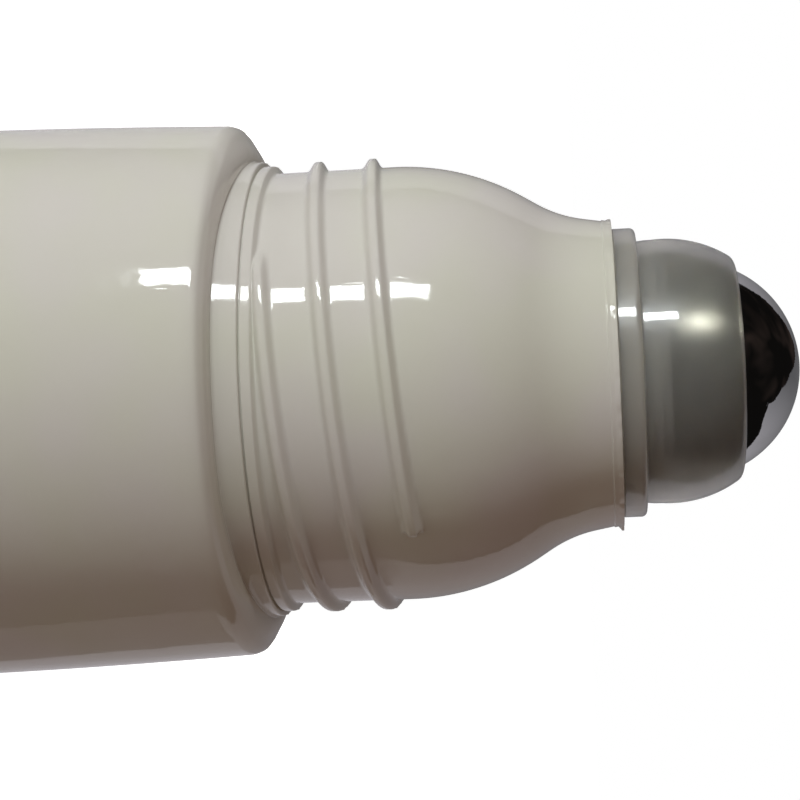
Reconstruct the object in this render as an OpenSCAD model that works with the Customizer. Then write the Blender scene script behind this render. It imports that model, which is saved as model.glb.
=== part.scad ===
// Roll-on bottle, standing on its base with the mouth up.
// A blow-moulded bottle with a two-start neck thread carries a push-in ball housing,
// and the housing holds a steel ball. The origin is the centre of the base.

/* [Bottle body] */
// Height from the base to the mouth rim
bottle_h = 90; // [84:1:120]
// Diameter of the body at its widest level
body_d = 41; // [40:0.5:46]
// Diameter of the body at the shoulder edge
shoulder_d = 39.4; // [38.4:0.2:40]
// Distance from the mouth rim down to the shoulder edge
shoulder_drop = 27.8; // [26.8:0.1:32]
// Height of the stretch below the shoulder over which the body widens
widening_h = 24; // [15:1:35]
// Wall thickness of the body
body_wall = 1.1; // [0.8:0.1:1.5]

/* [Base] */
// Radius of the rounded corner round the base
base_corner_r = 3.5; // [2.5:0.25:5]
// Width of the flat ring that the bottle stands on
foot_w = 1.6; // [1:0.2:3]
// Rise of the hollow under the base
push_up = 2.2; // [1:0.2:3]
// Thickness of the base
base_wall = 1.4; // [1:0.1:2]

/* [Shoulder] */
// Radius of the rounded shoulder edge
shoulder_edge_r = 1.3; // [0.8:0.1:1.6]
// Angle of the shoulder at the sides, counted from upright
shoulder_angle = 60; // [54:1:65]
// Depth by which the shoulder dips at the front and the back
saddle_dip = 1.45; // [0.8:0.05:1.6]

/* [Neck] */
// Diameter of the neck between the threads
neck_d = 32; // [31:0.25:32.5]
// Wall thickness of the neck and the dome
neck_wall = 1.3; // [1:0.1:1.6]
// Diameter of the collar at the foot of the neck
collar_d = 33.8; // [33.4:0.1:34.6]
// Height of the collar above the shoulder at the sides
collar_lip = 0.2; // [0.15:0.05:0.4]
// Diameter over the thin bead above the collar
bead_d = 33; // [32.7:0.1:33.2]
// Height of the bead
bead_w = 0.7; // [0.6:0.1:1]
// Height of the groove between the collar and the bead
groove_h = 0.2; // [0.1:0.1:0.5]

/* [Thread] */
// Number of thread starts
thread_starts = 2; // [1:1:2]
// Diameter over the thread crests
thread_d = 33.4; // [33:0.1:33.6]
// Rise of one thread in a full turn
thread_lead = 8; // [6:0.5:9]
// Width of the thread at its foot
thread_w = 1.6; // [1.2:0.1:2]
// Distance from the mouth rim down to the upper end of the threads
thread_end_drop = 14.3; // [13.5:0.1:15.5]
// Direction in which the first thread ends, counted round the neck
thread_end_angle = 313; // [0:1:359]

/* [Dome and mouth] */
// Radius of the dome's outward curve
dome_r = 17.8; // [16:0.2:19]
// Angle of the dome at its steepest, counted from upright
dome_angle = 31; // [29:1:34]
// Radius of the inward curve between the dome and the mouth
sweep_r = 9.4; // [8:0.2:10]
// Angle of the short cone below the mouth, counted from upright
mouth_angle = 10; // [6:1:14]
// Height of the short cone below the mouth
mouth_cone_h = 2; // [1.5:0.1:2.5]
// Diameter of the mouth outside, at its rim
mouth_d = 22.2; // [22:0.1:23]
// Diameter of the mouth's bore
mouth_bore_d = 18.9; // [18.8:0.1:19.4]
// Depth of the mouth's straight bore
mouth_bore_h = 3.6; // [3:0.1:4.2]

/* [Ball] */
// Diameter of the steel ball
ball_d = 16; // [15:0.5:16]
// Height of the ball's centre above the mouth rim
ball_rise = 5.2; // [5:0.1:5.6]
// Gap between the ball and the housing all round
ball_gap = 0.1; // [0.08:0.01:0.1]

/* [Ball housing] */
// Diameter of the flange that seats on the mouth rim
flange_d = 21.2; // [20.6:0.1:21.8]
// Thickness of the flange
flange_h = 1.7; // [1.3:0.1:2]
// Diameter of the barrel just above the flange
barrel_root_d = 19.2; // [18.8:0.1:19.3]
// Diameter of the barrel where it is widest
barrel_d = 19.4; // [19.4:0.1:20]
// Height above the mouth rim at which the barrel is widest
barrel_wide_rise = 3.6; // [3:0.1:4]
// Radius of the curve that closes the barrel towards the lip
barrel_curve_r = 8.6; // [8.2:0.2:9.6]
// Radius of the rounded top corner of the lip
lip_corner_r = 0.9; // [0.6:0.1:1.1]
// Height of the lip above the mouth rim
lip_rise = 8.75; // [8.4:0.05:9]
// Gap between the plug skirt and the mouth's bore
plug_gap = 0.15; // [0.1:0.05:0.25]
// Depth of the plug skirt below the mouth rim
plug_h = 9; // [8.6:0.1:10]
// Wall thickness of the plug skirt
plug_wall = 1.1; // [0.9:0.1:1.2]
// Length of the chamfer at the foot of the plug skirt
plug_chamfer = 0.5; // [0.3:0.1:0.8]
// Depth by which each sealing rib bites into the bore's wall
rib_bite = 0.05; // [0.02:0.01:0.1]
// Diameter of a sealing rib's round section
rib_w = 0.8; // [0.6:0.1:1]
// Depth of the first sealing rib below the mouth rim
rib_drop = 1.2; // [1:0.1:1.4]
// Distance from one sealing rib to the next
rib_pitch = 1.3; // [1:0.1:1.4]
// Thickness of the cup under the ball
cup_wall = 1.2; // [1:0.1:1.4]
// Diameter of the feed hole in the cup
feed_hole_d = 6; // [3:0.5:7]
// Number of feed grooves that lead up the cup from the feed hole
groove_count = 4; // [3:1:6]
// Width of a feed groove
groove_w = 0.8; // [0.5:0.1:1.2]
// Depth of a feed groove in the cup
groove_depth = 0.5; // [0.3:0.1:0.6]
// Radius out to which the feed grooves run
groove_reach = 5.5; // [5:0.1:6]

/* [Hidden] */

$fn = 96;

// Length by which a cut runs past the face that it opens, and a join sinks into its neighbour
overrun = 0.4;
// Counts of straight steps in the outlines' round stretches
corner_steps = 6;
curve_steps = 12;
base_steps = 16;
// Number of sealing ribs
rib_count = 2;

// Power of the curve by which the body narrows towards the shoulder
widening_power_share = 1.5;

// Levels and radii of the bottle's outside
body_r = body_d / 2;
shoulder_r = shoulder_d / 2;
neck_r = neck_d / 2;
collar_r = collar_d / 2;
shoulder_edge_z = bottle_h - shoulder_drop;
widest_z = shoulder_edge_z - widening_h;
slope_r = shoulder_r - shoulder_edge_r * (1 - cos(shoulder_angle));
slope_z = shoulder_edge_z + shoulder_edge_r * sin(shoulder_angle);
shoulder_top_z = slope_z + (slope_r - collar_r) / tan(shoulder_angle);
shoulder_low_z = shoulder_top_z - saddle_dip;
collar_top_z = shoulder_top_z + collar_lip;
foot_out_r = body_r - base_corner_r;
foot_in_r = foot_out_r - foot_w;

// Half width of the shoulder's dip, the radius of its arc, and the level of the arc's centre
saddle_half_w = (collar_r + slope_r) / 2;
saddle_r = (saddle_half_w ^ 2 + saddle_dip ^ 2) / (2 * saddle_dip);
saddle_centre_z = shoulder_low_z + saddle_r;

// Dome: an outward arc, a straight stretch, an inward arc and the short cone of the mouth
mouth_r = mouth_d / 2;
mouth_foot_r = mouth_r + mouth_cone_h * tan(mouth_angle);
sweep_low_r = mouth_foot_r + sweep_r * (cos(mouth_angle) - cos(dome_angle));
dome_high_r = neck_r - dome_r * (1 - cos(dome_angle));
straight_h = (dome_high_r - sweep_low_r) / tan(dome_angle);
sweep_high_z = bottle_h - mouth_cone_h;
sweep_low_z = sweep_high_z - sweep_r * (sin(dome_angle) - sin(mouth_angle));
dome_high_z = sweep_low_z - straight_h;
dome_low_z = dome_high_z - dome_r * sin(dome_angle);

// Inside of the bottle
mouth_bore_r = mouth_bore_d / 2;
bore_foot_z = bottle_h - mouth_bore_h;
inner_shoulder_z = shoulder_low_z - body_wall;
inner_body_r = body_r - body_wall;

// Threads
thread_r = thread_d / 2;
thread_top_z = bottle_h - thread_end_drop;
thread_low_z = collar_top_z - (thread_w + overrun) / 2;
thread_turn = 360 * (thread_top_z - thread_low_z) / thread_lead;
// Angle of one step round a thread, and the angle over which its end fades out
thread_step = 10;
thread_fade = 14;
thread_steps = ceil(thread_turn / thread_step);
// Outline of a thread as shares of its half width and its height, with its feet sunk in the neck
thread_outline_shares = [[-1.1, -0.5], [-0.7, 0.6], [-0.3, 1], [0.3, 1], [0.7, 0.6], [1.1, -0.5]];

// Ball and housing
ball_r = ball_d / 2;
ball_z = bottle_h + ball_rise;
seat_r = ball_r + ball_gap;
cup_r = seat_r + cup_wall;
barrel_r = barrel_d / 2;
barrel_curve_centre = [barrel_r - barrel_curve_r, bottle_h + barrel_wide_rise];
lip_z = bottle_h + lip_rise;
lip_angle = asin((lip_z - barrel_curve_centre.y - lip_corner_r) / (barrel_curve_r - lip_corner_r));
lip_corner = barrel_curve_centre
    + (barrel_curve_r - lip_corner_r) * [cos(lip_angle), sin(lip_angle)];
plug_r = mouth_bore_r - plug_gap;
plug_inner_r = plug_r - plug_wall;
plug_foot_z = bottle_h - plug_h;

// Points along a round stretch, from one angle to another
function arc(centre, r, from, to, steps) =
    [for (i = [0:steps]) centre + r * [cos(from + (to - from) * i / steps),
                                       sin(from + (to - from) * i / steps)]];

// Radius of the body at a level between the widest level and the shoulder edge
function widening_radius(z) =
    body_r - (body_r - shoulder_r) * ((z - widest_z) / widening_h) ^ widening_power_share;

// Outline of the body from the widest level up, drawn in by an inset
function widening_points(inset, top_z) =
    [for (i = [0:curve_steps]) let (z = widest_z + (top_z - widest_z) * i / curve_steps)
        [widening_radius(z) - inset, z]];

// Outline of the hollow under the base, from the axis to the foot ring, raised by a wall
base_hollow_r = (foot_in_r ^ 2 + push_up ^ 2) / (2 * push_up);
base_hollow_angle = asin(foot_in_r / base_hollow_r);
function base_points(wall) =
    arc([0, push_up - base_hollow_r], base_hollow_r + wall, 90, 90 - base_hollow_angle, base_steps);

// Outline of the dome from the neck to the foot of the mouth's cone, drawn in by a wall
function dome_points(wall) = concat(
    arc([neck_r - dome_r, dome_low_z], dome_r - wall, 0, dome_angle, curve_steps),
    arc([mouth_foot_r + sweep_r * cos(mouth_angle), sweep_high_z + sweep_r * sin(mouth_angle)],
        sweep_r + wall, 180 + dome_angle, 180 + mouth_angle, corner_steps));

// Outline of the bead above the collar, from its lower side to its upper side
function bead_points() =
    arc([(bead_d - bead_w) / 2, collar_top_z + groove_h + bead_w / 2], bead_w / 2, -90, 90,
        corner_steps);

// Body with its base and its sloping shoulder, closed at the collar
module body_blank()
    rotate_extrude()
        polygon(concat(
            base_points(0),
            arc([foot_out_r, base_corner_r], base_corner_r, -90, 0, corner_steps),
            widening_points(0, shoulder_edge_z),
            arc([shoulder_r - shoulder_edge_r, shoulder_edge_z], shoulder_edge_r,
                0, shoulder_angle, corner_steps),
            [[collar_r - collar_lip / 2 * tan(shoulder_angle), shoulder_top_z + collar_lip / 2],
             [0, shoulder_top_z + collar_lip / 2]]));

// Space above the shoulder's dip, a wide arc seen from the front
module saddle_cut()
    translate([0, body_r + overrun, 0])
        rotate([90, 0, 0])
            linear_extrude(body_d + 2 * overrun)
                intersection() {
                    translate([-body_r, shoulder_low_z - overrun])
                        square([body_d, saddle_dip + 2 * overrun]);
                    translate([0, saddle_centre_z])
                        circle(saddle_r);
                }

// Neck with its collar, bead, dome and mouth
module neck_blank() {
    rotate_extrude()
        polygon(concat(
            [[0, shoulder_low_z - overrun], [collar_r, shoulder_low_z - overrun],
             [collar_r, collar_top_z], [neck_r, collar_top_z]],
            bead_points(),
            dome_points(0),
            [[mouth_r, bottle_h], [0, bottle_h]]));
}

// One thread: a ridge that starts inside the collar and climbs to its blunt upper end
module thread(end_angle) {
    n = len(thread_outline_shares);
    points = [for (i = [0:thread_steps])
        let (back = thread_turn * (1 - i / thread_steps),
             angle = end_angle - back,
             z = thread_top_z - thread_lead * back / 360,
             size = sqrt(min(1, (back + thread_step) / thread_fade)))
        for (share = thread_outline_shares)
            let (r = neck_r + (thread_r - neck_r) * share.y * (share.y > 0 ? size : 1))
            [r * cos(angle), r * sin(angle), z + thread_w / 2 * share.x * size]];
    faces = concat(
        [[for (j = [n - 1:-1:0]) j]],
        [[for (j = [0:n - 1]) thread_steps * n + j]],
        [for (i = [0:thread_steps - 1]) for (j = [0:n - 1])
            let (k = (j + 1) % n)
            each [[i * n + j, (i + 1) * n + k, (i + 1) * n + j],
                  [i * n + j, i * n + k, (i + 1) * n + k]]]);
    polyhedron(points = points, faces = faces, convexity = 6);
}

// Room inside the bottle, open at the mouth
module cavity()
    rotate_extrude()
        polygon(concat(
            base_points(base_wall),
            arc([foot_out_r, base_corner_r], base_corner_r - body_wall,
                -90, 0, corner_steps),
            widening_points(body_wall, shoulder_edge_z - body_wall),
            [[inner_body_r - shoulder_edge_r - body_wall, inner_shoulder_z],
             [neck_r - neck_wall, inner_shoulder_z + body_wall]],
            [for (p = dome_points(neck_wall)) if (p.x > mouth_bore_r && p.y < bore_foot_z) p],
            [[mouth_bore_r, bore_foot_z], [mouth_bore_r, bottle_h + overrun],
             [0, bottle_h + overrun]]));

module bottle()
    color([0.86, 0.85, 0.82])
        difference() {
            union() {
                difference() {
                    body_blank();
                    saddle_cut();
                }
                neck_blank();
                for (i = [0:thread_starts - 1])
                    thread(thread_end_angle + 360 * i / thread_starts);
            }
            cavity();
        }

// Outside of the housing: plug skirt, flange, barrel and lip
module housing_blank()
    rotate_extrude()
        polygon(concat(
            [[0, plug_foot_z], [plug_r - plug_chamfer, plug_foot_z],
             [plug_r, plug_foot_z + plug_chamfer], [plug_r, bottle_h],
             [flange_d / 2, bottle_h], [flange_d / 2, bottle_h + flange_h],
             [barrel_root_d / 2, bottle_h + flange_h]],
            arc(barrel_curve_centre, barrel_curve_r, 0, lip_angle, curve_steps),
            arc(lip_corner, lip_corner_r, lip_angle, 90, corner_steps),
            [[0, lip_z]]));

// Hollow inside the plug skirt, below the cup
module plug_hollow()
    difference() {
        translate([0, 0, plug_foot_z - overrun])
            cylinder(h = ball_z - plug_foot_z, r = plug_inner_r);
        translate([0, 0, ball_z])
            sphere(cup_r);
    }

// Grooves that lead the liquid from the feed hole up the cup
module feed_grooves()
    intersection() {
        translate([0, 0, ball_z])
            sphere(seat_r + groove_depth);
        for (i = [0:groove_count - 1])
            rotate([0, 0, 360 * i / groove_count])
                translate([0, -groove_w / 2, ball_z - cup_r])
                    cube([groove_reach, groove_w, cup_r]);
    }

module sealing_rib(z)
    translate([0, 0, z])
        rotate_extrude()
            translate([mouth_bore_r + rib_bite - rib_w / 2, 0])
                circle(d = rib_w, $fn = 24);

module ball_housing()
    color([0.72, 0.74, 0.72, 0.6])
        difference() {
            union() {
                housing_blank();
                for (i = [0:rib_count - 1])
                    sealing_rib(bottle_h - rib_drop - i * rib_pitch);
            }
            plug_hollow();
            translate([0, 0, ball_z])
                sphere(seat_r);
            feed_grooves();
            translate([0, 0, plug_foot_z])
                cylinder(h = plug_h, d = feed_hole_d);
        }

module roller_ball()
    color([0.55, 0.55, 0.56])
        translate([0, 0, ball_z])
            sphere(d = ball_d);

bottle();
ball_housing();
roller_ball();
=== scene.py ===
# %% [markdown]
# # A roll-on bottle with a steel ball
#
# The real object is a glossy, blow-moulded bottle. Its neck has a screw thread with two starts, a
# domed top and an open mouth. A milky push-in fitment sits in that mouth, and a polished steel ball
# rolls in the fitment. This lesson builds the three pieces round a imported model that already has
# the right sizes, gives each its finish, and lights them as a small studio would.

# %% The frame
import math

import bmesh
import bpy
from mathutils import Matrix, Vector, noise


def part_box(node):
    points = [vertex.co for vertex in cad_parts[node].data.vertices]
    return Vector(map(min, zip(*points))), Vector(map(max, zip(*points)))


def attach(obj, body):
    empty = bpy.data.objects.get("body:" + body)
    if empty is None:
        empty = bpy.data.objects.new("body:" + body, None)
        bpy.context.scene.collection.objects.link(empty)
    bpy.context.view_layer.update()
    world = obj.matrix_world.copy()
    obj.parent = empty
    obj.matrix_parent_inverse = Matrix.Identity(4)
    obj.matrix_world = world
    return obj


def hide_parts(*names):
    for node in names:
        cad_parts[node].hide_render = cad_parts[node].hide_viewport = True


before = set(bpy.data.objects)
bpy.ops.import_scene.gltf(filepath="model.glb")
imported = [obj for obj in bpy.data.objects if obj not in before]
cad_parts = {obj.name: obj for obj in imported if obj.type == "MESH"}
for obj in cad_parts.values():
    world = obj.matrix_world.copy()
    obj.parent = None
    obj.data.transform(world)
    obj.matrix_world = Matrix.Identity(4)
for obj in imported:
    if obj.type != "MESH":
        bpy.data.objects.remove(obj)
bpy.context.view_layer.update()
MM = 0.001

# %% [markdown]
# ## The camera
#
# The camera comes first, because every later choice is judged through it. The bottle stands
# upright in this frame, but the picture shows it lying with its mouth to the right. So the camera
# is turned about its own line of sight until the bottle's axis runs from left to right. It stands
# close, at the level of the mouth, which is why the rings of the neck look curved.

# %% The camera
camera_place = Vector((0, -140.4 * MM, 87.57 * MM))
camera_pan = math.radians(5.58)
camera_tilt = math.radians(-0.5)
camera_roll = math.radians(-2.66)
camera_lens_mm = 85.2

X_AXIS = Vector((1, 0, 0))
Y_AXIS = Vector((0, 1, 0))
Z_AXIS = Vector((0, 0, 1))
panned = Y_AXIS * math.cos(camera_pan) - Z_AXIS * math.sin(camera_pan)
across = Z_AXIS * math.cos(camera_pan) + Y_AXIS * math.sin(camera_pan)
forward = panned * math.cos(camera_tilt) - X_AXIS * math.sin(camera_tilt)
upward = -X_AXIS * math.cos(camera_tilt) - panned * math.sin(camera_tilt)
right = across * math.cos(camera_roll) + upward * math.sin(camera_roll)
up = upward * math.cos(camera_roll) - across * math.sin(camera_roll)

camera_data = bpy.data.cameras.new("photo_camera")
camera_data.lens = camera_lens_mm
camera_data.clip_start = 10 * MM
camera = bpy.data.objects.new("photo_camera", camera_data)
camera.matrix_world = Matrix.Translation(camera_place) @ Matrix((right, up, -forward)).transposed().to_4x4()
bpy.context.scene.collection.objects.link(camera)
bpy.context.scene.camera = camera
print("camera looks along", [round(v, 3) for v in forward])

# %% [markdown]
# ## Measures from the frame
#
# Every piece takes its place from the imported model, so nothing has to be fitted by eye later. The
# boxes of the three nodes give the widest radius, the mouth's level, the flange, the lip and the
# ball. The smaller sizes of each piece are named where that piece is made.

# %% Measures from the frame
bottle_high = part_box("bottle")[1]
housing_low, housing_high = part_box("ball_housing")
ball_low, ball_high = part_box("roller_ball")
body_r = bottle_high.x
mouth_z = bottle_high.z
flange_r = housing_high.x
plug_foot_z = housing_low.z
lip_z = housing_high.z
ball_r = (ball_high.z - ball_low.z) / 2
ball_z = (ball_high.z + ball_low.z) / 2
print("mouth at", round(mouth_z / MM, 2), "mm, ball centre at", round(ball_z / MM, 2), "mm")

# %% [markdown]
# ## Turned outlines
#
# The bottle and its fitment are round, so each could be carved, lofted from rings, or turned like
# work on a lathe. Turning is the truest here: a mould maker draws half the section too. An outline
# is a list of (radius, level) points. The helpers below round its corners, fill its long stretches
# with closer points, and then draw it vertex by vertex and spin it round the axis.


# %% Helpers for outlines
def arc(centre, r, start, end, steps):
    """Points on an arc, from one angle to another, in degrees."""
    turns = [math.radians(start + (end - start) * i / steps) for i in range(steps + 1)]
    return [(centre[0] + r * math.cos(t), centre[1] + r * math.sin(t)) for t in turns]


def rounded(corners, steps=6):
    """A line through (radius, level, rounding) corners, each corner replaced by a tangent arc."""
    points = [corners[0][:2]]
    for before, here, after in zip(corners, corners[1:], corners[2:]):
        if here[2] == 0:
            points.append(here[:2])
            continue
        corner = Vector(here[:2])
        back = (Vector(before[:2]) - corner).normalized()
        on = (Vector(after[:2]) - corner).normalized()
        half = back.angle(on) / 2
        centre = corner + (back + on).normalized() * here[2] / math.sin(half)
        first = corner + back * here[2] / math.tan(half) - centre
        turn = first.angle_signed(corner + on * here[2] / math.tan(half) - centre)
        start = math.degrees(math.atan2(first.y, first.x))
        points += arc(centre, here[2], start, start - math.degrees(turn), steps)
    points.append(corners[-1][:2])
    return points


def closer(points, longest):
    """The same line with extra points, so that no stretch is longer than the given length."""
    filled = [points[0]]
    for (r0, z0), (r1, z1) in zip(points, points[1:]):
        parts = max(1, math.ceil(math.hypot(r1 - r0, z1 - z0) / longest))
        filled += [(r0 + (r1 - r0) * i / parts, z0 + (z1 - z0) * i / parts) for i in range(1, parts + 1)]
    return filled


# %% The lathe
MERGE_GAP = 0.002 * MM


def lathe(name, outline, steps):
    """Draw an outline in the XZ plane, one vertex after another, and spin it round the Z axis."""
    bpy.ops.object.select_all(action="DESELECT")
    bpy.ops.mesh.primitive_plane_add(size=MM, enter_editmode=True)
    piece = bpy.context.object
    piece.name = name
    bpy.ops.mesh.merge(type="CENTER")
    bpy.ops.transform.translate(value=(outline[0][0], 0, outline[0][1]))
    for (r0, z0), (r1, z1) in zip(outline, outline[1:]):
        bpy.ops.mesh.extrude_vertices_move(TRANSFORM_OT_translate={"value": (r1 - r0, 0, z1 - z0)})
    bpy.ops.mesh.select_all(action="SELECT")
    bpy.ops.mesh.spin(steps=steps, angle=math.tau, center=(0, 0, 0), axis=(0, 0, 1))
    bpy.ops.mesh.select_all(action="SELECT")
    bpy.ops.mesh.remove_doubles(threshold=MERGE_GAP)
    bpy.ops.mesh.normals_make_consistent(inside=False)
    bpy.ops.object.mode_set(mode="OBJECT")
    return piece


def describe(piece):
    """Print a piece's size, triangles and volume. A closed piece that faces outwards has a volume above 0."""
    copy = bmesh.new()
    copy.from_mesh(piece.data)
    open_edges = sum(not e.is_manifold for e in copy.edges)
    volume = copy.calc_volume(signed=True) / MM**3
    triangles = sum(len(f.verts) - 2 for f in copy.faces)
    copy.free()
    size = [round(v / MM, 2) for v in piece.dimensions]
    print(piece.name, size, "mm,", triangles, "triangles,", round(volume), "mm3,", open_edges, "open edges")


def smooth(piece, angle):
    """Shade a piece smoothly wherever two faces meet at less than an angle, in degrees."""
    bpy.ops.object.select_all(action="DESELECT")
    piece.select_set(True)
    bpy.context.view_layer.objects.active = piece
    bpy.ops.object.shade_smooth_by_angle(angle=math.radians(angle))


def widen(v, radius, reach):
    """Move a vertex away from the axis, or towards it where the reach is below 0."""
    v.co.x *= 1 + reach / radius
    v.co.y *= 1 + reach / radius


# %% [markdown]
# ## The bottle's section
#
# The outline starts at the middle of the base, runs over the foot ring and up the outside, turns
# over the rim and comes down the inside, so one spin makes both walls. The shoulder, collar, bead
# and neck get close points, because their highlights show every kink. The inside gets few.

# %% Sizes of the body
bottle_steps = 292
widest_z = 38.2 * MM
widening_power = 1.5
shoulder_r = 19.7 * MM
shoulder_z = 62.2 * MM
shoulder_edge_r = 1.3 * MM
shoulder_angle = 60
body_wall = 1.1 * MM
base_corner_r = 3.5 * MM
foot_in_r = 15.4 * MM
push_up = 2.2 * MM
base_wall = 1.4 * MM
base_steps = 14
corner_steps = 10
inner_steps = 5
wall_rings = 18
inner_every = 3
close_rings = 8
close_h = 2 * MM

# %% Sizes of the collar and neck
neck_r = 16 * MM
neck_wall = 1.3 * MM
neck_gap = 0.105 * MM
collar_r = 16.9 * MM
collar_low_z = 63.0 * MM
collar_high_z = 64.567 * MM
collar_top_z = 64.77 * MM
collar_foot_soft = 0.12 * MM
collar_edge_soft = 0.12 * MM
collar_draft = 0.05 * MM
collar_steps = 4
collar_wall_gap = 0.005 * MM
slope_gap = 0.2 * MM
bead_r = 16.55 * MM
bead_low_z = 64.84 * MM
bead_high_z = 65.55 * MM
bead_draft = 0.03 * MM
bead_foot_h = 0.03 * MM
bead_foot_soft = 0.05 * MM
bead_soft = 0.15 * MM
bead_fall_h = 0.25 * MM
bead_fall_soft = 0.2 * MM
groove_r = 16.42 * MM
groove_soft = 0.03 * MM
groove_rise = 0.01 * MM
neck_corner_steps = 3
dome_r = 17.8 * MM
dome_angle = 31
dome_close_angle = 7
dome_z = 74.33 * MM
dome_steps = 14
dome_close_steps = 20
inner_dome_steps = 3
dome_gap = 0.8 * MM

# %% Sizes of the mouth
sweep_r = 9.4 * MM
sweep_steps = 10
mouth_angle = 10
mouth_cone_h = 2 * MM
mouth_r = 11.1 * MM
mouth_ring_h = 0.72 * MM
mouth_ring_step = 0.07 * MM
mouth_ring_soft = 0.03 * MM
mouth_ring_rise = 0.05 * MM
rim_soft = 0.06 * MM
rim_steps = 4
rim_gap = 0.15 * MM
bore_r = 9.45 * MM
bore_h = 3.6 * MM
bore_soft = 0.2 * MM

# %% Outline of the body
hollow_r = (foot_in_r**2 + push_up**2) / (2 * push_up)
hollow_angle = math.degrees(math.asin(foot_in_r / hollow_r))
hollow_centre = (0, push_up - hollow_r)
under = arc(hollow_centre, hollow_r, 90, 90 - hollow_angle, base_steps)
corner_centre = (body_r - base_corner_r, base_corner_r)
corner = arc(corner_centre, base_corner_r, -90, 0, corner_steps)


def body_radius(z):
    """Radius of the body, which narrows in a long curve from its widest level to the shoulder."""
    rise = max(0, z - widest_z) / (shoulder_z - widest_z)
    return body_r - (body_r - shoulder_r) * rise**widening_power


def levels(low, high, count):
    """Evenly spread levels above the lowest one, up to the highest."""
    return [low + (high - low) * (i + 1) / count for i in range(count)]


wall_levels = levels(base_corner_r, shoulder_z - close_h, wall_rings)
wall_levels += levels(shoulder_z - close_h, shoulder_z, close_rings)
wall = [(body_radius(z), z) for z in wall_levels]
edge_centre = (shoulder_r - shoulder_edge_r, shoulder_z)
edge = arc(edge_centre, shoulder_edge_r, 0, shoulder_angle, corner_steps)
print("the shoulder's edge ends at", [round(v / MM, 2) for v in edge[-1]], "mm")

# %% Outline of the collar, bead and neck
collar_wall_top_z = collar_top_z - collar_edge_soft
slope = [(*edge[-1], 0), (collar_r, collar_high_z, collar_foot_soft), (collar_r, collar_wall_top_z, 0)]
slope = rounded(slope, collar_steps)
collar_wall = closer([slope[-2], slope[-1]], collar_wall_gap)
neck_corners = [
    (collar_r, collar_wall_top_z, 0),
    (collar_r, collar_top_z, collar_edge_soft),
    (groove_r, collar_top_z + groove_rise, groove_soft),
    (groove_r, bead_low_z, groove_soft),
    (bead_r + bead_draft, bead_low_z + bead_foot_h, bead_foot_soft),
    (bead_r, bead_high_z, bead_soft),
    (neck_r, bead_high_z + bead_fall_h, bead_fall_soft),
    (neck_r, dome_z, 0),
]
neck = closer(rounded(neck_corners, neck_corner_steps), neck_gap)
collar_step = closer(slope[:-1], slope_gap)[:-1] + collar_wall + neck[1:]

# %% Outline of the dome and mouth
mouth_foot_r = mouth_r + mouth_cone_h * math.tan(math.radians(mouth_angle))
sweep_centre = (
    mouth_foot_r + sweep_r * math.cos(math.radians(mouth_angle)),
    mouth_z - mouth_cone_h + sweep_r * math.sin(math.radians(mouth_angle)),
)


def dome(thickness, steps):
    """The dome's outward curve and the inward curve above it, both set in by a wall's thickness."""
    dome_centre = (neck_r - dome_r, dome_z)
    outward = arc(dome_centre, dome_r - thickness, 0, dome_close_angle, steps)
    outward += arc(dome_centre, dome_r - thickness, dome_close_angle, dome_angle, dome_steps)[1:]
    inward = arc(sweep_centre, sweep_r + thickness, 180 + dome_angle, 180 + mouth_angle, sweep_steps)
    return outward + closer([outward[-1], inward[0]], dome_gap)[1:] + inward[1:]


ring_z = mouth_z - mouth_ring_h
ring_r = mouth_r + mouth_ring_h * math.tan(math.radians(mouth_angle))
rim_corners = [
    (mouth_foot_r, mouth_z - mouth_cone_h, 0),
    (ring_r, ring_z, mouth_ring_soft),
    (ring_r + mouth_ring_step, ring_z + mouth_ring_rise, mouth_ring_rise),
    (mouth_r + mouth_ring_step, mouth_z, rim_soft),
    (bore_r, mouth_z, bore_soft),
    (bore_r, mouth_z - bore_h, 0),
]
rim = rounded(rim_corners, rim_steps)
bore_points = rim_steps + 1
rim_filled = closer(rim[:-bore_points], rim_gap) + rim[-bore_points:]

# %% Outline of the inside
inner_dome = reversed(dome(neck_wall, inner_dome_steps))
inner_dome = [p for p in inner_dome if p[0] > bore_r and p[1] < mouth_z - bore_h]
inner_shoulder = [(neck_r - neck_wall, collar_low_z), (shoulder_r - 2 * body_wall, collar_low_z - body_wall)]
inner_levels = wall_levels[:wall_rings:inner_every]
inner_wall = [(body_radius(z) - body_wall, z) for z in reversed(inner_levels)]
inner_corner = arc(corner_centre, base_corner_r - body_wall, 0, -90, inner_steps)
inner_base = arc(hollow_centre, hollow_r + base_wall, 90 - hollow_angle, 90, inner_steps)
outside = under + corner + wall + edge[1:] + collar_step[1:]
outside += dome(0, dome_close_steps)[1:] + rim_filled[1:]
bottle_outline = outside + inner_dome + inner_shoulder + inner_wall + inner_corner + inner_base
print("points in the bottle's outline:", len(bottle_outline))

# %% Turn the bottle
bottle = lathe("blown_bottle", bottle_outline, bottle_steps)
describe(bottle)

# %% [markdown]
# ## Columns where they are needed
#
# A thread that ends bluntly, and the thin seam that the mould halves leave, are far narrower than
# the distance between two columns of vertices. More columns all round would make the piece heavy.
# So the columns are drawn together round those four places, and spread a little beside them.

# %% Draw the columns together
thread_end_angle = 309.5
tight_places = (0, 180, thread_end_angle, thread_end_angle - 180)
tight_reach = 6
tight_share = 0.78


def drawn_in(angle):
    """The angle, in degrees, of a column after it has moved towards the nearest tight place."""
    moved = angle
    for place in tight_places:
        off = (angle - place + 180) % 360 - 180
        moved -= tight_share * off * math.exp(-((off / tight_reach) ** 2))
    return moved


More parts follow.
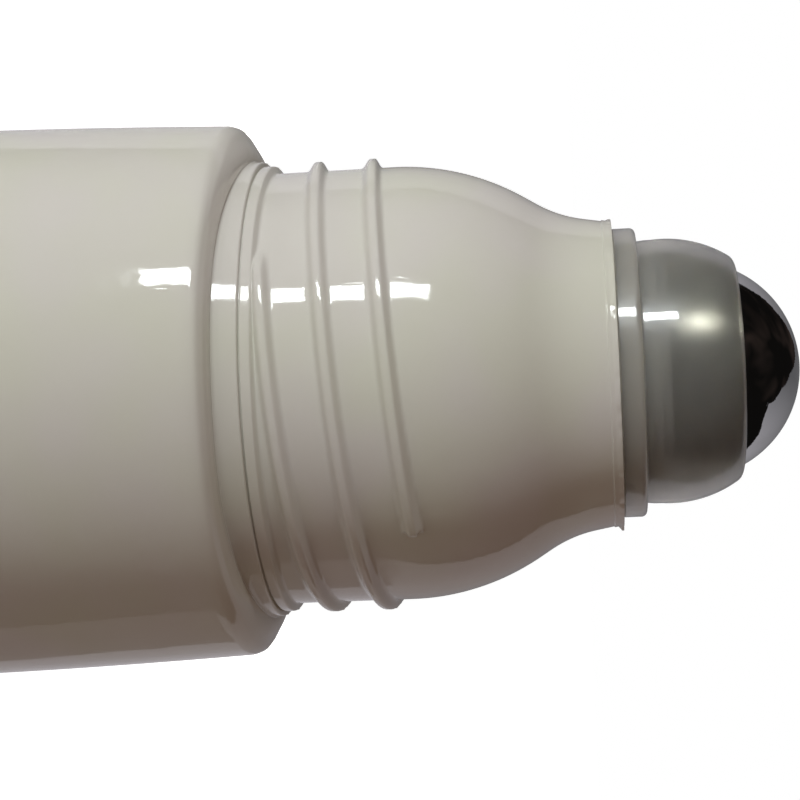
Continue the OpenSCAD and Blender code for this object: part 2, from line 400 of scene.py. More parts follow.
for v in bottle.data.vertices:
    radius = math.hypot(v.co.x, v.co.y)
    angle = math.radians(drawn_in(math.degrees(math.atan2(v.co.y, v.co.x))))
    v.co = Vector((radius * math.cos(angle), radius * math.sin(angle), v.co.z))
step = 360 / bottle_steps
print("columns are", step, "degrees apart, and", round(drawn_in(step), 3), "beside a seam")

# %% [markdown]
# ## The saddle shoulder
#
# On the real bottle the shoulder isn't a plain cone. At the two mould seams it climbs to the
# collar's top, and between them it drops to a flat step, so the collar's wall is tall at the front
# and low at the sides. Each vertex of the cone that stands above the step is lowered onto it. A
# soft minimum keeps the meeting line rounded, and the wall's rings are spread down to the new foot.

# %% Lower the shoulder onto the saddle
saddle_rise = 1.57 * MM
saddle_half_w = (collar_r + edge[-1][0]) / 2
saddle_power = 4.2
saddle_soft = 0.9 * MM
roll_low_z = 61.6 * MM
roll_in = 0.38 * MM
front_power = 4
saddle_most = 1.2
ring_margin = 0.001 * MM
wall_margin = 0.01 * MM


def ease(share):
    """A smooth step from 0 to 1."""
    share = min(1.0, max(0.0, share))
    return share * share * (3 - 2 * share)


def soft_least(a, b, soft):
    """The smaller of two values, rounded where they are close to each other."""
    share = max(0.0, soft - abs(a - b)) / soft
    return min(a, b) - share * share * soft / 4


def saddle_level(x):
    """The level of the step at a distance from the middle of the bottle's front."""
    return collar_low_z + saddle_rise * min(saddle_most, abs(x) / saddle_half_w) ** saddle_power


lowered = 0
for v in bottle.data.vertices:
    radius = math.hypot(v.co.x, v.co.y)
    if not roll_low_z < v.co.z < collar_wall_top_z - ring_margin or radius <= collar_r - wall_margin:
        continue
    step_z = saddle_level(v.co.x)
    front = 1 - min(1, abs(v.co.x) / shoulder_r) ** front_power
    if radius < collar_r + collar_foot_soft:
        drop = collar_high_z - soft_least(collar_high_z, step_z, saddle_soft)
        foot_top_z = collar_high_z + collar_foot_soft / 2
        share = min(1, (collar_wall_top_z - v.co.z) / (collar_wall_top_z - foot_top_z))
        widen(v, radius, collar_draft * share)
        v.co.z -= drop * share
        lowered += 1
        continue
    roll = roll_in * front * min(1, (v.co.z - roll_low_z) / (collar_low_z - roll_low_z)) ** 2
    roll *= ease((radius - collar_r) / (edge[-1][0] - collar_r))
    widen(v, radius, -roll)
    level = soft_least(v.co.z, step_z, saddle_soft)
    lowered += level < v.co.z
    v.co.z = level
print("vertices lowered onto the saddle:", lowered)

# %% [markdown]
# ## The threads
#
# The threads could be swept as ridges of their own and joined on, but then each foot would be a
# hard line. A blown thread has soft feet. So the neck's close rings are pushed outwards along two
# helices. Each ridge is steeper on its upper side, ends bluntly, and fades out above the bead.

# %% Push the threads out of the neck
thread_starts = 2
thread_height = 0.7 * MM
thread_lead = 8 * MM
thread_top_z = mouth_z - 14.38 * MM
thread_half_up = 0.64 * MM
thread_half_down = 0.88 * MM
thread_crest_share = 0.22
thread_end_length = 0.25 * MM
thread_run_angle = 437
thread_fade_angle = 9
thread_foot_soft = 0.1 * MM
thread_room_z = dome_z + 3 * MM
outside_r = neck_r - MM


def thread_rise(angle, z):
    """How far the threads stand out of the neck at an angle, in degrees, and a level."""
    tallest = 0.0
    for start in range(thread_starts):
        behind = (thread_end_angle + 360 * start / thread_starts - angle) % 360
        for back in (behind, behind + 360):
            off = z - (thread_top_z - thread_lead * back / 360)
            share = off / thread_half_up if off > 0 else -off / thread_half_down
            if share < 1:
                flank = ease((1 - share) / (1 - thread_crest_share))
                end = ease(math.radians(back) * neck_r / thread_end_length)
                fade = ease((thread_run_angle - back) / thread_fade_angle)
                tallest = max(tallest, thread_height * flank * end * fade)
    return tallest


pushed = 0
for v in bottle.data.vertices:
    radius = math.hypot(v.co.x, v.co.y)
    if not (collar_top_z < v.co.z < thread_room_z and radius > outside_r):
        continue
    rise = thread_rise(math.degrees(math.atan2(v.co.y, v.co.x)), v.co.z)
    if rise > 0:
        target = -soft_least(-radius, -(neck_r + rise), thread_foot_soft)
        v.co.x *= target / radius
        v.co.y *= target / radius
        pushed += 1
print("vertices pushed out as threads:", pushed)

# %% [markdown]
# ## What the mould leaves
#
# The two halves of the mould leave a hair-thin seam up both sides, and a pinched-off weld across
# the hollow of the base. Where the neck was trimmed, the mouth's outer edge keeps a thin, uneven
# flash that is longest at the seams. All three are real shape, so they show in the outline too.

# %% Seams, weld and flash
seam_h = 0.045 * MM
seam_half_w = 0.04 * MM
weld_h = 0.35 * MM
weld_half_w = 0.55 * MM
weld_reach = 11 * MM
weld_top_z = push_up + 0.1 * MM
outward_least = 0.05
flash_low_z = mouth_z - 0.45 * MM
flash_most = 0.16 * MM
flash_base = 0.35
flash_swing = 0.5
flash_margin = 0.1 * MM
flash_full_z = mouth_z - flash_margin
wave_density = 3
tooth_density = 19
tooth_level = 4
burr_base = 0.8
# Each burr has a place and a half width, both in degrees, and a height.
burrs = ((-3.0, 1.6, 0.42 * MM), (-178.0, 3.0, 0.16 * MM))


def round_noise(angle, density, level):
    """Noise along a circle round the axis, so that it meets itself again after a full turn."""
    turn = math.radians(angle)
    return noise.noise(Vector((density * math.cos(turn), density * math.sin(turn), level)))


def flash_reach(angle):
    """How far the flash stands out of the mouth's edge at an angle, in degrees."""
    waves = round_noise(angle, wave_density, 0)
    teeth = round_noise(angle, tooth_density, tooth_level)
    reach = flash_most * max(0, flash_base + flash_swing * waves + flash_swing * teeth)
    for place, half_w, most in burrs:
        off = (angle - place + 180) % 360 - 180
        reach += most * math.exp(-((off / half_w) ** 2)) * (burr_base + flash_swing * teeth)
    return reach


facings = [v.normal.copy() for v in bottle.data.vertices]
marked = 0
for v, facing in zip(bottle.data.vertices, facings):
    radius = math.hypot(v.co.x, v.co.y)
    if v.co.z < weld_top_z and radius < weld_reach:
        share = ease(1 - abs(v.co.y) / weld_half_w) * ease((weld_reach - radius) / MM)
        v.co.z -= weld_h * share
        marked += share > 0
    if radius < MM or facing.x * v.co.x + facing.y * v.co.y < outward_least * radius:
        continue
    angle = math.degrees(math.atan2(v.co.y, v.co.x))
    grow = 0.0
    if base_corner_r < v.co.z < mouth_z - mouth_ring_h:
        grow = seam_h * ease(2 - abs(v.co.y) / seam_half_w)
    elif v.co.z > flash_low_z and radius > mouth_r - flash_margin:
        grow = flash_reach(angle) * ease((v.co.z - flash_low_z) / (flash_full_z - flash_low_z))
    widen(v, radius, grow)
    marked += grow > 0
print("vertices moved for seams, weld and flash:", marked)

# %% Finish the bottle's faces
smooth(bottle, 80)
describe(bottle)

# %% [markdown]
# ## The ball housing
#
# The fitment is one moulding: a plug skirt with two sealing ribs, a flange that seats on the rim, a
# bulging barrel and a thin lip that curls over the ball. Its section is a closed loop, because the
# feed hole leaves the axis free. It is turned like the bottle, so its walls have their true
# thickness, which a see-through plastic needs.

# %% Outline of the housing
housing_steps = 256
plug_gap = 0.15 * MM
plug_wall = 1.1 * MM
plug_r = bore_r - plug_gap
plug_inner_r = plug_r - plug_wall
plug_taper_h = 0.45 * MM
skirt_drop = 3.4 * MM
rib_r = 0.35 * MM
rib_sunk = 0.1 * MM
rib_drops = (1.2 * MM, 2.5 * MM)
rib_angle = 60
rib_steps = 8
flange_h = 1.7 * MM
flange_gap = 0.02 * MM
flange_foot_soft = 0.05 * MM
edge_soft = 0.12 * MM
flange_top_soft = 0.4 * MM
barrel_root_r = 9.6 * MM
barrel_root_h = 0.6 * MM
barrel_root_lean = 0.06 * MM
barrel_r = 9.7 * MM
barrel_wide_z = mouth_z + 3.6 * MM
barrel_curve_r = 8.6 * MM
lip_corner_r = 0.9 * MM
ball_gap = 0.1 * MM
cup_wall = 1.2 * MM
seat_r = ball_r + ball_gap
cup_r = seat_r + cup_wall
feed_r = 3 * MM
lip_under_in = 0.3 * MM
flange_line_gap = 0.3 * MM
barrel_foot_angle = -5
barrel_steps = 24
seat_lead_angle = 5
seat_steps = 40
cup_steps = 16


def on_circle(r, radius):
    """Height over its centre of a circle of the given radius, at a distance from the axis."""
    return math.sqrt(radius**2 - r**2)


curve_centre = (barrel_r - barrel_curve_r, barrel_wide_z)
lip_centre_reach = barrel_curve_r - lip_corner_r
lip_angle = math.degrees(math.asin((lip_z - lip_corner_r - barrel_wide_z) / lip_centre_reach))
lip_centre = (
    curve_centre[0] + lip_centre_reach * math.cos(math.radians(lip_angle)),
    curve_centre[1] + lip_centre_reach * math.sin(math.radians(lip_angle)),
)
lip_in_r = on_circle(lip_z - ball_z, seat_r)
seat_top_angle = math.degrees(math.asin((lip_z - ball_z) / seat_r))
feed_angle = -math.degrees(math.acos(feed_r / seat_r))
cup_foot_angle = -math.degrees(math.acos(feed_r / cup_r))
cup_end_angle = -math.degrees(math.acos(plug_inner_r / cup_r))

skirt_top = (plug_r, mouth_z - skirt_drop, 0)
skirt = rounded([(plug_inner_r, plug_foot_z, 0), (plug_r, plug_foot_z, plug_taper_h), skirt_top])
ribs = []
for drop in reversed(rib_drops):
    ribs += arc((plug_r - rib_sunk, mouth_z - drop), rib_r, -rib_angle, rib_angle, rib_steps)
flange_low_z = mouth_z + flange_gap
flange_high_z = mouth_z + flange_h
flange = rounded(
    [
        (plug_r, mouth_z - 0.5 * MM, 0),
        (plug_r, flange_low_z, flange_foot_soft),
        (flange_r, flange_low_z, edge_soft),
        (flange_r, flange_high_z, flange_top_soft),
        (barrel_root_r, flange_high_z, edge_soft),
        (barrel_root_r + barrel_root_lean, flange_high_z + barrel_root_h, 0),
    ]
)
barrel = arc(curve_centre, barrel_curve_r, barrel_foot_angle, lip_angle, barrel_steps)
lip = arc(lip_centre, lip_corner_r, lip_angle, 90, corner_steps)[1:]
lip_under = (lip_in_r + lip_under_in, lip_z - 0.5 * MM, 0)
lip_edge = rounded([lip[-1] + (0,), (lip_in_r, lip_z, edge_soft), lip_under], rim_steps)
seat = arc((0, ball_z), seat_r, seat_top_angle - seat_lead_angle, feed_angle, seat_steps)
cup = arc((0, ball_z), cup_r, cup_foot_angle, cup_end_angle, cup_steps)
skirt_inside = closer([(plug_inner_r, cup[-1][1]), (plug_inner_r, plug_foot_z)], dome_gap)
housing_outline = skirt + ribs + closer(flange, flange_line_gap) + barrel + lip
housing_outline += lip_edge[1:-1] + seat + cup + skirt_inside
housing = lathe("fitment", housing_outline, housing_steps)
describe(housing)

# %% Feed grooves in the cup
groove_count = 4
groove_half_w = 0.4 * MM
groove_depth = 0.5 * MM
groove_reach = 5.5 * MM
seat_margin = 0.02 * MM
sector = math.tau / groove_count
for v in housing.data.vertices:
    from_ball = v.co - Vector((0, 0, ball_z))
    radius = math.hypot(v.co.x, v.co.y)
    if abs(from_ball.length - seat_r) > seat_margin or radius > groove_reach or from_ball.z > 0:
        continue
    angle = math.atan2(v.co.y, v.co.x) + math.tau
    off = abs((angle + sector / 2) % sector - sector / 2) * radius
    depth = groove_depth * ease(2 - 2 * off / groove_half_w) * ease((groove_reach - radius) / MM)
    v.co = v.co + from_ball.normalized() * depth
smooth(housing, 40)
describe(housing)

# %% [markdown]
# ## The ball
#
# A polished ball shows every flat face as a kink in its reflections, and the poles of a UV sphere
# show as stars. A cube that is subdivided and pushed onto a sphere has neither: its faces are all
# nearly the same size. It is made at the ball's place, and the place is then put into the mesh.

# %% Make the ball
ball_cuts = 95
bpy.ops.object.select_all(action="DESELECT")
bpy.ops.mesh.primitive_cube_add(size=ball_r, location=(0, 0, ball_z), enter_editmode=True)
ball = bpy.context.object
ball.name = "steel_ball"
bpy.ops.mesh.subdivide(number_cuts=ball_cuts)
bpy.ops.mesh.select_all(action="SELECT")
bpy.ops.transform.tosphere(value=1)
bpy.ops.object.mode_set(mode="OBJECT")
bpy.ops.object.transform_apply(location=True, rotation=True, scale=True)
centre = Vector((0, 0, ball_z))
for v in ball.data.vertices:
    v.co = centre + (v.co - centre).normalized() * ball_r
bpy.ops.object.shade_smooth()
describe(ball)

# %% Seat the pieces in the frame
seats = ((bottle, "bottle", "bottle"), (housing, "bottle", "ball_housing"), (ball, "ball", "roller_ball"))
for piece, body, node in seats:
    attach(piece, body)
    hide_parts(node)
    print(piece.name, "rides on", body)

# %% [markdown]
# ## Two effects for every finish
#
# Moulded plastic is never quite even: it has a slow ripple like orange peel, streaks from the
# tooling, and cloudy patches of tint. Handled things also carry smudges and hairline scratches.
# Each effect is a node group, built once. It puts out only masks and a normal, and each material
# places it with its own values. Densities are counted in features per metre of Object space.

# %% Helpers for materials


def new_finish(name):
    """A new material and its shader, ready for sockets to be set."""
    material = bpy.data.materials.new(name)
    material.use_nodes = True
    return material, material.node_tree, material.node_tree.nodes["Principled BSDF"]


def add_node(tree, kind, settings=None, values=None):
    """Add a node, set its properties, and set its sockets by name or number."""
    made = tree.nodes.new(kind)
    for name, value in (settings or {}).items():
        setattr(made, name, value)
    for socket, value in (values or {}).items():
        made.inputs[socket].default_value = value
    return made


def put_on(piece, material):
    """Give a piece one material."""
    piece.data.materials.clear()
    piece.data.materials.append(material)


def new_group(name, inputs, outputs):
    """A node group with named sockets, and its two end nodes."""
    group = bpy.data.node_groups.new(name, "ShaderNodeTree")
    for title, kind in inputs:
        group.interface.new_socket(title, in_out="INPUT", socket_type=kind)
    for title, kind in outputs:
        group.interface.new_socket(title, in_out="OUTPUT", socket_type=kind)
    return group, group.nodes.new("NodeGroupInput"), group.nodes.new("NodeGroupOutput")


def dense_noise(group, place, density, detail):
    """A noise whose density, in features per metre along each axis, comes from a socket."""
    scaled = add_node(group, "ShaderNodeVectorMath", {"operation": "MULTIPLY"})
    group.links.new(place.outputs["Object"], scaled.inputs[0])
    group.links.new(density, scaled.inputs[1])
    made = add_node(group, "ShaderNodeTexNoise", values={"Scale": 1, "Detail": detail})
    group.links.new(scaled.outputs[0], made.inputs["Vector"])
    return made


def lerp_range(group, source, low, high):
    """Stretch a mask so that low becomes 0 and high becomes 1."""
    made = add_node(group, "ShaderNodeMapRange", values={"From Min": low, "From Max": high})
    group.links.new(source, made.inputs["Value"])
    return made


# %% The moulded skin group
FLOAT = "NodeSocketFloat"
VECTOR = "NodeSocketVector"
patch_range = (0.35, 0.65)
streak_range = (0.3, 0.7)
skin_inputs = [("Ripple Density", VECTOR), ("Ripple mm", FLOAT), ("Streak Density", VECTOR)]
skin_inputs += [("Streak mm", FLOAT), ("Patch Density", VECTOR)]
skin_outputs = [("Patch", FLOAT), ("Streak", FLOAT), ("Normal", VECTOR)]
skin, taken, given = new_group("moulded_skin", skin_inputs, skin_outputs)
place = add_node(skin, "ShaderNodeTexCoord")
ripple = dense_noise(skin, place, taken.outputs["Ripple Density"], 2)
streak = dense_noise(skin, place, taken.outputs["Streak Density"], 3)
patch = dense_noise(skin, place, taken.outputs["Patch Density"], 1)
ripple_mm = add_node(skin, "ShaderNodeMath", {"operation": "MULTIPLY"})
skin.links.new(ripple.outputs["Fac"], ripple_mm.inputs[0])
skin.links.new(taken.outputs["Ripple mm"], ripple_mm.inputs[1])
height = add_node(skin, "ShaderNodeMath", {"operation": "MULTIPLY_ADD"})
skin.links.new(streak.outputs["Fac"], height.inputs[0])
skin.links.new(taken.outputs["Streak mm"], height.inputs[1])
skin.links.new(ripple_mm.outputs[0], height.inputs[2])
bump = add_node(skin, "ShaderNodeBump", values={"Strength": 1, "Distance": MM})
skin.links.new(height.outputs[0], bump.inputs["Height"])
skin.links.new(bump.outputs["Normal"], given.inputs["Normal"])
skin.links.new(lerp_range(skin, patch.outputs["Fac"], *patch_range).outputs[0], given.inputs["Patch"])
skin.links.new(lerp_range(skin, streak.outputs["Fac"], *streak_range).outputs[0], given.inputs["Streak"])
print("the skin group has", len(skin.nodes), "nodes")

# %% The handling marks group
scratch_range = (0.7, 0.78)
smudge_range = (0.45, 0.75)
mark_inputs = [("Scratch Density", VECTOR), ("Smudge Density", VECTOR)]
mark_outputs = [("Scratch", FLOAT), ("Smudge", FLOAT)]
marks, taken, given = new_group("handling_marks", mark_inputs, mark_outputs)
place = add_node(marks, "ShaderNodeTexCoord")
scratch = dense_noise(marks, place, taken.outputs["Scratch Density"], 1)
smudge = dense_noise(marks, place, taken.outputs["Smudge Density"], 4)
marks.links.new(lerp_range(marks, scratch.outputs["Fac"], *scratch_range).outputs[0], given.inputs["Scratch"])
marks.links.new(lerp_range(marks, smudge.outputs["Fac"], *smudge_range).outputs[0], given.inputs["Smudge"])
print("the marks group has", len(marks.nodes), "nodes")


# %% Helpers that place the groups
def place_group(tree, group, values):
    """Place a node group in a material, with its own values."""
    return add_node(tree, "ShaderNodeGroup", {"node_tree": group}, values)


def blend_colours(tree, mask, first, second, target):
    """Feed a colour socket with a mix of two colours, led by a mask."""
    mixed = add_node(tree, "ShaderNodeMix", {"data_type": "RGBA"}, {"A": first, "B": second})
    tree.links.new(mask, mixed.inputs["Factor"])
    tree.links.new(mixed.outputs["Result"], target)


def lead_value(tree, mask, low, high, target):
    """Feed a value socket from a mask, so that 0 gives low and 1 gives high."""
    made = add_node(tree, "ShaderNodeMapRange", values={"To Min": low, "To Max": high})
    tree.links.new(mask, made.inputs["Value"])
    tree.links.new(made.outputs[0], target)


# %% [markdown]
# ## Gloss plastic of the bottle
#
# Blown polyethylene in a warm off-white, with a gloss that a strip light draws as a sharp, slightly
# wavering bar. One flat colour would look like paint. Cloudy patches move it between a greenish
# and a rosy white, the extruder's fine die lines run up the body, and smudges dull the gloss.

# %% Finish of the bottle
bottle_finish, tree, shader = new_finish("gloss_white_plastic")
bottle_skin = place_group(tree, skin, {
    "Ripple Density": (520, 520, 520),
    "Ripple mm": 0.016,
    "Streak Density": (1900, 1900, 45),
    "Streak mm": 0.0016,
    "Patch Density": (110, 110, 140),
})
bottle_marks = place_group(tree, marks, {
    "Scratch Density": (900, 7000, 240),
    "Smudge Density": (180, 180, 120),
})
greenish = (0.69, 0.685, 0.60, 1)
rosy = (0.70, 0.675, 0.635, 1)
bottle_roughness = (0.055, 0.11)
blend_colours(tree, bottle_skin.outputs["Patch"], greenish, rosy, shader.inputs["Base Color"])
lead_value(tree, bottle_marks.outputs["Smudge"], *bottle_roughness, shader.inputs["Roughness"])
bump = add_node(tree, "ShaderNodeBump", values={"Strength": 0.6, "Distance": 0.004 * MM})
tree.links.new(bottle_marks.outputs["Scratch"], bump.inputs["Height"])
tree.links.new(bottle_skin.outputs["Normal"], bump.inputs["Normal"])
tree.links.new(bump.outputs["Normal"], shader.inputs["Normal"])
put_on(bottle, bottle_finish)
print("the bottle's finish has", len(tree.nodes), "nodes")

# %% [markdown]
# ## Milky plastic of the housing
#
# The fitment is natural polyethylene without pigment. Light passes through it, but is scattered on
# its way, so the ball shows in it only as a dark cloud and a warm glow. A rough, transmitting base
# gives the cloud, a share of subsurface light gives the milk, and a smooth coat gives the sharp
# highlight on top. Fine rings from the tool run round the barrel, in the roughness and normal of
# the base under that coat. The flange, the plug and the lip's edge scatter more of it, so they get
# a milkier copy, and the barrel's foot, where the wall is thicker, gets two steps between them.

# %% Finish of the housing
milky_roughness = (0.29, 0.37)


def milky(name, clearness, clear, cloudy):
    """A natural polyethylene that lets the given share of light through unscattered."""
    material, tree, shader = new_finish(name)
    shader.inputs["IOR"].default_value = 1.5
    shader.inputs["Transmission Weight"].default_value = clearness
    shader.inputs["Coat Weight"].default_value = 1
    shader.inputs["Coat Roughness"].default_value = 0.04
    shader.inputs["Subsurface Weight"].default_value = 1
    shader.inputs["Subsurface Scale"].default_value = 8 * MM
    shader.inputs["Subsurface Radius"].default_value = (1, 0.97, 0.88)
    fine_skin = place_group(tree, skin, {
        "Ripple Density": (700, 700, 500),
        "Ripple mm": 0.008,
        "Streak Density": (90, 90, 2600),
        "Streak mm": 0.0012,
        "Patch Density": (150, 150, 150),
    })
    blend_colours(tree, fine_skin.outputs["Patch"], clear, cloudy, shader.inputs["Base Color"])
    lead_value(tree, fine_skin.outputs["Streak"], *milky_roughness, shader.inputs["Roughness"])
    tree.links.new(fine_skin.outputs["Normal"], shader.inputs["Normal"])
    print(name, "has", len(tree.nodes), "nodes")
    return material


warm = (0.94, 0.91, 0.80, 1)
warm_cloud = (0.89, 0.865, 0.79, 1)
thick = (0.80, 0.765, 0.64, 1)
thick_cloud = (0.78, 0.74, 0.63, 1)
put_on(housing, milky("milky_plastic", 0.86, warm, warm_cloud))
housing.data.materials.append(milky("milkier_plastic", 0.78, warm, warm_cloud))
housing.data.materials.append(milky("half_milky_plastic", 0.69, warm, warm_cloud))
housing.data.materials.append(milky("thick_milky_plastic", 0.4, thick, thick_cloud))
lip_edge_h = 0.25 * MM
band_tops = (1.8 * MM, 0.95 * MM, 0)
counts = [0, 0, 0, 0]
for face in housing.data.polygons:
    above_flange = face.center.z - mouth_z - flange_h
    face.material_index = sum(above_flange < top for top in band_tops)
    if face.center.z > lip_z - lip_edge_h:
        face.material_index = len(band_tops)
    counts[face.material_index] += 1
print("faces with each finish, from clear to thick:", counts)

# %% [markdown]
# ## Polished steel of the ball
#
# A bearing ball is a mirror, so nearly all of its look comes from what stands around it. What makes
# it steel rather than a perfect mirror is a slightly grey tint, hairline scratches from rolling in
# the cup, and the film that skin leaves, which blurs the mirror in patches.

# %% Finish of the ball
steel_finish, tree, shader = new_finish("polished_steel")
shader.inputs["Metallic"].default_value = 1
ball_marks = place_group(tree, marks, {
    "Scratch Density": (600, 9000, 1500),
    "Smudge Density": (420, 260, 260),
})
steel = (0.62, 0.62, 0.63, 1)
filmed = (0.55, 0.545, 0.55, 1)
ball_roughness = (0.02, 0.09)
blend_colours(tree, ball_marks.outputs["Smudge"], steel, filmed, shader.inputs["Base Color"])
lead_value(tree, ball_marks.outputs["Smudge"], *ball_roughness, shader.inputs["Roughness"])
bump = add_node(tree, "ShaderNodeBump", values={"Strength": 0.5, "Distance": 0.002 * MM})
tree.links.new(ball_marks.outputs["Scratch"], bump.inputs["Height"])
tree.links.new(bump.outputs["Normal"], shader.inputs["Normal"])
put_on(ball, steel_finish)
print("the ball's finish has", len(tree.nodes), "nodes")

# %% [markdown]
# ## Floor, world and lights
#
# The picture has a pure white ground, but the bottle itself is lit from one side and stands in a
# dim, warm room. Both can be true, because each kind of ray can be told what it sees: the camera
# sees white, soft light on the plastic is a dim warm fill, and mirrors see the dark room.

# %% The world
world = bpy.data.worlds.new("studio")
world.use_nodes = True
bpy.context.scene.world = world
tree = world.node_tree
background = tree.nodes["Background"]
path = tree.nodes.new("ShaderNodeLightPath")
seen = add_node(tree, "ShaderNodeMath", {"operation": "MAXIMUM"})
seen_too = add_node(tree, "ShaderNodeMath", {"operation": "MAXIMUM"})
warm_fill = (0.17, 0.12, 0.098, 1)
white = (1, 1, 1, 1)
tree.links.new(path.outputs["Is Camera Ray"], seen.inputs[0])
tree.links.new(path.outputs["Is Glossy Ray"], seen.inputs[1])
tree.links.new(seen.outputs[0], seen_too.inputs[0])
tree.links.new(path.outputs["Is Transmission Ray"], seen_too.inputs[1])
blend_colours(tree, seen_too.outputs[0], warm_fill, white, background.inputs["Color"])
print("the world has", len(tree.nodes), "nodes")

# %% The floor
floor_r = 40
# The floor lies a hair below the foot ring, so that the two never share a plane.
floor_place = (0, 0, -0.05 * MM)
bpy.ops.object.select_all(action="DESELECT")
bpy.ops.mesh.primitive_circle_add(vertices=96, radius=floor_r, fill_type="NGON", location=floor_place)
floor = bpy.context.object
floor.name = "floor"
floor_finish, tree, shader = new_finish("white_floor")
shader.inputs["Base Color"].default_value = (0.9, 0.89, 0.87, 1)
shader.inputs["Roughness"].default_value = 0.9
shader.inputs["Specular IOR Level"].default_value = 0
shader.inputs["Emission Color"].default_value = (0.86, 0.905, 0.92, 1)
path = tree.nodes.new("ShaderNodeLightPath")
tree.links.new(path.outputs["Is Camera Ray"], shader.inputs["Emission Strength"])
put_on(floor, floor_finish)
print("the floor is a disc of", floor_r, "m in radius")

# %% [markdown]
# ## The two lamps
#
# One narrow, upright strip stands to the left of the camera. It shades the plastic from light at
# the top of the picture to dark at the bottom, and it draws the broken bright bar along the neck.
# A second, softer lamp stands straight behind. From the front it only reaches through the milky
# plastic, but it lights the bottle's back for whoever walks round it.

# %% Helper for the lamps
def add_lamp(name, width, height, energy, colour, location, rotation):
    """An upright, rectangular lamp that the camera doesn't see."""
    data = bpy.data.lights.new(name, "AREA")
    data.shape = "RECTANGLE"
    data.size = width
    data.size_y = height
    data.energy = energy
    data.color = colour
    lamp = bpy.data.objects.new(name, data)
    lamp.location = location
    lamp.rotation_euler = rotation
    lamp.visible_camera = False
    bpy.context.scene.collection.objects.link(lamp)
    return lamp


# %% The strip light
lamp_foot_z = 21 * MM
lamp_top_z = 141 * MM
lamp_w = 33 * MM
lamp_away = 270 * MM
lamp_turn = math.radians(47.3)
lamp_energy = 0.42
lamp_colour = (0.94, 1, 1)
lamp_z = (lamp_top_z + lamp_foot_z) / 2
lamp_place = (-lamp_away * math.sin(lamp_turn), -lamp_away * math.cos(lamp_turn), lamp_z)
lamp_facing = (math.radians(90), 0, -lamp_turn)
lamp_h = lamp_top_z - lamp_foot_z
add_lamp("strip_light", lamp_w, lamp_h, lamp_energy, lamp_colour, lamp_place, lamp_facing)
print("the strip light stands at", [round(v / MM) for v in lamp_place], "mm")

# %% The back light
back_w = 60 * MM
back_h = 120 * MM
back_energy = 0.6
back_colour = (1, 0.97, 0.93)
back_place = (0, 400 * MM, 70 * MM)
back_facing = (math.radians(-90), 0, 0)
back = add_lamp("back_light", back_w, back_h, back_energy, back_colour, back_place, back_facing)
back.visible_glossy = False
print("the back light stands at", [round(v / MM) for v in back_place], "mm")

# %% [markdown]
# ## What the mirrors see
#
# The ball and the gloss need something to reflect. A dark room stands round everything, seen only
# by reflections and through the milky plastic. Behind the bottle a part of its wall is a pale grey
# card, which draws the light edges on the plastic and the grey crescent on the ball. A black cloth
# on the floor keeps the lit floor out of the reflections. Pale paper lies on it at the back, with a
# dimmer sheet beside it on the +X side, where the picture's reflections are darker.

# %% Helpers for the surroundings
def unlit_finish(name, colour):
    """A finish that no lamp lights. It only has a glow of its own."""
    material, tree, shader = new_finish(name)
    shader.inputs["Base Color"].default_value = (0, 0, 0, 1)
    shader.inputs["Specular IOR Level"].default_value = 0
    shader.inputs["Emission Color"].default_value = colour
    shader.inputs["Emission Strength"].default_value = 1
    return material, tree, shader


def turn_of(place):
    """The direction of a place round the axis, in degrees: 0 at the front, 90 on the +X side."""
    return math.degrees(math.atan2(place.x, -place.y)) % 360


def only_mirrored(piece):
    """Hide a piece from everything but reflections and what is seen through the plastic."""
    piece.visible_camera = False
    piece.visible_diffuse = False
    piece.visible_shadow = False
    piece.visible_volume_scatter = False


# %% The dark room
room_r = 0.7
room_columns = 360
room_rows = 180
bpy.ops.object.select_all(action="DESELECT")
bpy.ops.mesh.primitive_uv_sphere_add(segments=room_columns, ring_count=room_rows, radius=room_r)
room = bpy.context.object
room.name = "dark_room"
black = (0.006, 0.0055, 0.005, 1)
brown = (0.036, 0.026, 0.022, 1)
room_finish, tree, shader = unlit_finish("dark_room", black)
place = add_node(tree, "ShaderNodeTexCoord")
shapes = add_node(tree, "ShaderNodeTexNoise", values={"Scale": 3, "Detail": 2, "Distortion": 0.5})
tree.links.new(place.outputs["Object"], shapes.inputs["Vector"])
dim = add_node(tree, "ShaderNodeMapRange", values={"From Min": 0.5, "From Max": 0.75})
tree.links.new(shapes.outputs["Fac"], dim.inputs["Value"])
blend_colours(tree, dim.outputs[0], black, brown, shader.inputs["Emission Color"])
put_on(room, room_finish)
print("faces of the dark room:", len(room.data.polygons))

# %% The grey card on the room's wall
card_outline = (
    (100, -25), (104, 0), (127, 36), (122, 48), (110, 58), (108, 67), (150, 68), (174, 59),
    (182, 45), (186, 38), (205, 43), (223, 39), (236, 28), (238, 0), (235, -25),
)


def inside(point, outline):
    """Whether a point lies in a closed outline, by counting the edges to one side of it."""
    found = False
    for (x0, y0), (x1, y1) in zip(outline, outline[1:] + outline[:1]):
        if (y0 > point[1]) != (y1 > point[1]):
            found ^= point[0] < x0 + (x1 - x0) * (point[1] - y0) / (y1 - y0)
    return found


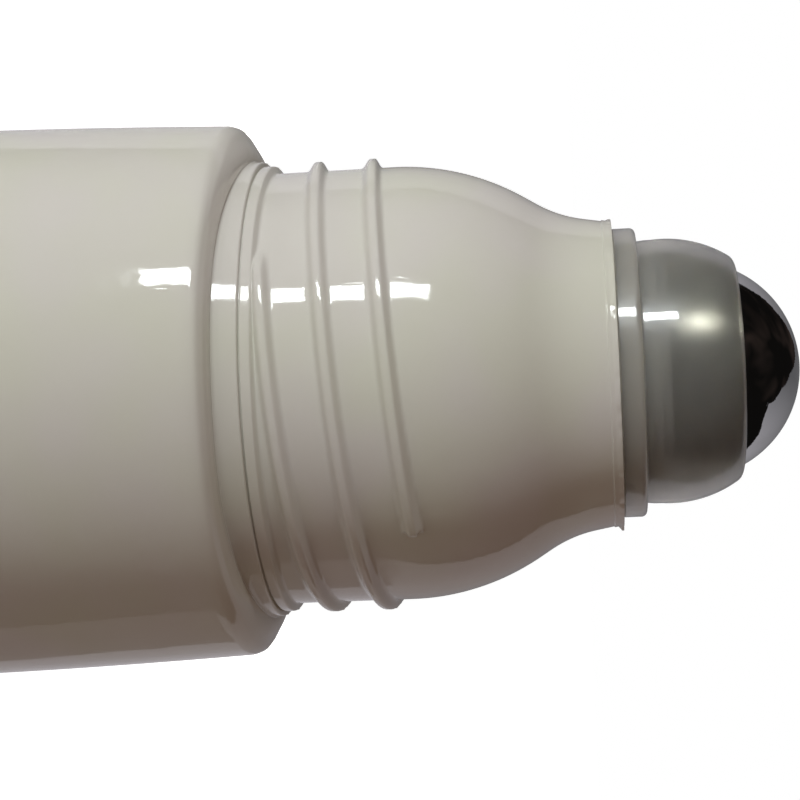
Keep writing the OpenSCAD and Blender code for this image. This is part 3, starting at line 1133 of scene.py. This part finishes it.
middle = (0.13, 0.13, 0.135, 1)
sides = (0.46, 0.445, 0.47, 1)
card_finish, tree, shader = unlit_finish("grey_card", middle)
place = add_node(tree, "ShaderNodeTexCoord")
split = add_node(tree, "ShaderNodeSeparateXYZ")
tree.links.new(place.outputs["Object"], split.inputs[0])
sideways = add_node(tree, "ShaderNodeMath", {"operation": "ABSOLUTE"})
tree.links.new(split.outputs["X"], sideways.inputs[0])
spread = add_node(tree, "ShaderNodeMapRange", values={"From Min": 0.05, "From Max": 0.5})
tree.links.new(sideways.outputs[0], spread.inputs["Value"])
blend_colours(tree, spread.outputs[0], middle, sides, shader.inputs["Emission Color"])
room.data.materials.append(card_finish)
card_faces = 0
for face in room.data.polygons:
    towards = face.center.normalized()
    rise = math.degrees(math.asin(towards.z))
    face.material_index = int(inside((turn_of(towards), rise), card_outline))
    card_faces += face.material_index
only_mirrored(room)
print("faces of the card:", card_faces)

# %% The black cloth and its paper
cloth_hole_r = 0.12
cloth_z = 0.5 * MM
# The turns at which dim paper begins, pale paper begins, and paper ends.
paper_edges = (100, 133, 236)
dim_paper = (0.24, 0.22, 0.225, 1)
pale_paper = (0.52, 0.505, 0.54, 1)
bpy.ops.object.select_all(action="DESELECT")
bpy.ops.mesh.primitive_circle_add(vertices=96, radius=room_r, location=(0, 0, cloth_z), enter_editmode=True)
cloth = bpy.context.object
cloth.name = "black_cloth"
bpy.ops.mesh.extrude_region_move()
shrink = cloth_hole_r / room_r
bpy.ops.transform.resize(value=(shrink, shrink, 1))
bpy.ops.object.mode_set(mode="OBJECT")
cloth_finish, tree, shader = new_finish("black_cloth")
shader.inputs["Base Color"].default_value = (0.01, 0.009, 0.008, 1)
shader.inputs["Specular IOR Level"].default_value = 0
put_on(cloth, cloth_finish)
cloth.data.materials.append(unlit_finish("dim_paper", dim_paper)[0])
cloth.data.materials.append(unlit_finish("pale_paper", pale_paper)[0])
for face in cloth.data.polygons:
    edges_passed = sum(turn_of(face.center) > limit for limit in paper_edges)
    face.material_index = edges_passed % len(paper_edges)
only_mirrored(cloth)
print("faces of the cloth and its paper:", len(cloth.data.polygons))

# %% View settings
bpy.context.scene.view_settings.view_transform = "Standard"
